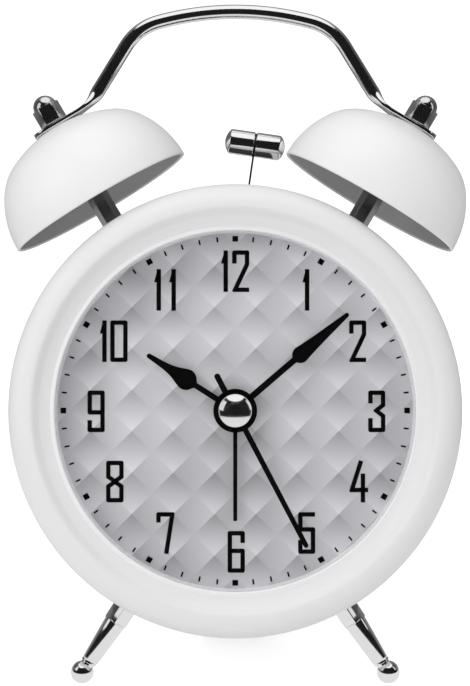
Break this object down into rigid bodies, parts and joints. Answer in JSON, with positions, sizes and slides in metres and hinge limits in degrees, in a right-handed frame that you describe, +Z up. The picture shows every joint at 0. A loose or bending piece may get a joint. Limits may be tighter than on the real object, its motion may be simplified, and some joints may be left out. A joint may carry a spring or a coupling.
{
  "type": "twin-bell alarm clock",
  "caption": "Round leaning alarm clock with numbered dial, twin bells struck by a hammer, carrying handle, splayed ball feet and a quartz movement.",
  "frame": {"origin": "on the table under the middle of the box that holds the clock", "axes": "+Z up, the dial faces -Y leaning back 14 degrees, +X to the right as the dial is read"},
  "size_m": [0.1184, 0.0762, 0.1656],
  "materials": {
    "white_enamel": "gloss white enamel",
    "white_plastic": "white moulded plastic",
    "lens": "clear flat lens",
    "dial_print": "grey printed quilted pattern with black numbers",
    "black_plastic": "fine matt black",
    "rubber": "matt black",
    "chrome": "bright plated",
    "dark_steel": "turned steel",
    "steel": "plain sheet and pin steel",
    "brass": "plain brass",
    "nylon": "natural moulded plastic",
    "hand_black": "satin black",
    "coil": "wound enamelled wire",
    "board": "bare circuit board",
    "cell": "plain dark jacket"
  },
  "bodies": {
    "case": {"bezel": "white_enamel", "lens": "lens", "dial_ring": "white_plastic", "dial": "dial_print", "case_drum": "white_enamel", "back_cover": "black_plastic", "cover_screws": "chrome", "heel_pad": "rubber", "left_bell": "white_enamel", "right_bell": "white_enamel", "left_post": "dark_steel", "right_post": "dark_steel", "post_nuts": "brass", "cap_nuts": "chrome", "handle": "chrome", "left_leg": "chrome", "right_leg": "chrome", "leg_nuts": "brass", "movement_front": "nylon", "movement_middle": "nylon", "movement_rear": "nylon", "dial_nut": "brass", "stator": "steel", "coil": "coil", "circuit_board": "board", "hammer_bracket": "steel", "hammer_pin": "steel", "motor": "steel", "battery_cells": "cell", "battery_contacts": "steel"},
    "alarm": {"alarm_wheel": "nylon", "alarm_hand": "hand_black"},
    "hour": {"hour_wheel": "nylon", "hour_hand": "hand_black"},
    "minute": {"cannon_pinion": "brass", "minute_hand": "hand_black"},
    "second": {"second_wheel": "brass", "second_hand": "hand_black", "hub_cap": "chrome"},
    "motion": {"motion_wheel": "nylon"},
    "time_set": {"set_shaft": "brass", "time_knob": "white_plastic"},
    "alarm_set": {"alarm_shaft": "brass", "alarm_knob": "white_plastic"},
    "minute_drive": {"minute_wheel": "brass"},
    "third": {"third_wheel": "nylon"},
    "step": {"step_wheel": "nylon"},
    "rotor": {"rotor": "steel"},
    "hammer": {"hammer_rocker": "steel", "hammer_strip": "steel", "hammer_head": "chrome"},
    "crank": {"crank_wheel": "nylon"},
    "drive": {"motor_pinion": "brass"},
    "door": {"battery_door": "black_plastic"},
    "switch": {"alarm_switch": "white_plastic"}
  },
  "joints": [
    {"name": "minute_spin", "type": "hinge", "parent": "case", "child": "minute", "pos_m": [0, -0.01384, 0.06796], "axis": [0, 0.9703, -0.2419], "continuous": true},
    {"name": "hour_spin", "type": "hinge", "parent": "case", "child": "hour", "pos_m": [0, -0.01384, 0.06796], "axis": [0, 0.9703, -0.2419], "continuous": true},
    {"name": "motion_spin", "type": "hinge", "parent": "case", "child": "motion", "pos_m": [0.00992, -0.00833, 0.06525], "axis": [0, 0.9703, -0.2419], "continuous": true},
    {"name": "time_knob_turn", "type": "hinge", "parent": "case", "child": "time_set", "pos_m": [0.01244, 0.027, 0.06642], "axis": [0, 0.9703, -0.2419], "continuous": true},
    {"name": "second_spin", "type": "hinge", "parent": "case", "child": "second", "pos_m": [0, -0.01384, 0.06796], "axis": [0, 0.9703, -0.2419], "continuous": true},
    {"name": "third_spin", "type": "hinge", "parent": "case", "child": "third", "pos_m": [0, -0.00208, 0.07378], "axis": [0, 0.9703, -0.2419], "continuous": true},
    {"name": "minute_wheel_spin", "type": "hinge", "parent": "case", "child": "minute_drive", "pos_m": [0, -0.00511, 0.06578], "axis": [0, 0.9703, -0.2419], "continuous": true},
    {"name": "step_spin", "type": "hinge", "parent": "case", "child": "step", "pos_m": [-0.00291, -0.00413, 0.0573], "axis": [0, 0.9703, -0.2419], "continuous": true},
    {"name": "rotor_spin", "type": "hinge", "parent": "case", "child": "rotor", "pos_m": [-0.00878, -0.00562, 0.05547], "axis": [0, 0.9703, -0.2419], "continuous": true},
    {"name": "alarm_spin", "type": "hinge", "parent": "case", "child": "alarm", "pos_m": [0, -0.01384, 0.06796], "axis": [0, 0.9703, -0.2419], "continuous": true},
    {"name": "alarm_knob_turn", "type": "hinge", "parent": "case", "child": "alarm_set", "pos_m": [-0.01244, 0.027, 0.06642], "axis": [0, 0.9703, -0.2419], "continuous": true},
    {"name": "crank_spin", "type": "hinge", "parent": "case", "child": "crank", "pos_m": [0, 0.01167, 0.10416], "axis": [0, 0.9703, -0.2419], "continuous": true},
    {"name": "drive_spin", "type": "hinge", "parent": "case", "child": "drive", "pos_m": [-0.00601, 0.01115, 0.10203], "axis": [0, 0.9703, -0.2419], "continuous": true},
    {"name": "hammer_swing", "type": "hinge", "parent": "case", "child": "hammer", "pos_m": [0, 0.00773, 0.09659], "axis": [0, -0.9703, 0.2419], "range_deg": [0, 16.4]},
    {"name": "door_lift", "type": "slide", "parent": "case", "child": "door", "axis": [0, 0.9703, -0.2419], "range_m": [0, 0.02]},
    {"name": "switch_slide", "type": "slide", "parent": "case", "child": "switch", "axis": [1, 0, 0], "range_m": [0, 0.004]}
  ],
  "couplings": [
    {"joint": "hour_spin", "follows": "minute_spin", "ratio": 0.083333},
    {"joint": "motion_spin", "follows": "minute_spin", "ratio": -0.33333},
    {"joint": "time_knob_turn", "follows": "minute_spin", "ratio": 1},
    {"joint": "third_spin", "follows": "second_spin", "ratio": -0.13333},
    {"joint": "minute_wheel_spin", "follows": "second_spin", "ratio": 0.016667},
    {"joint": "step_spin", "follows": "second_spin", "ratio": -7.5},
    {"joint": "rotor_spin", "follows": "second_spin", "ratio": 30},
    {"joint": "alarm_knob_turn", "follows": "alarm_spin", "ratio": -3},
    {"joint": "drive_spin", "follows": "crank_spin", "ratio": -3}
  ]
}
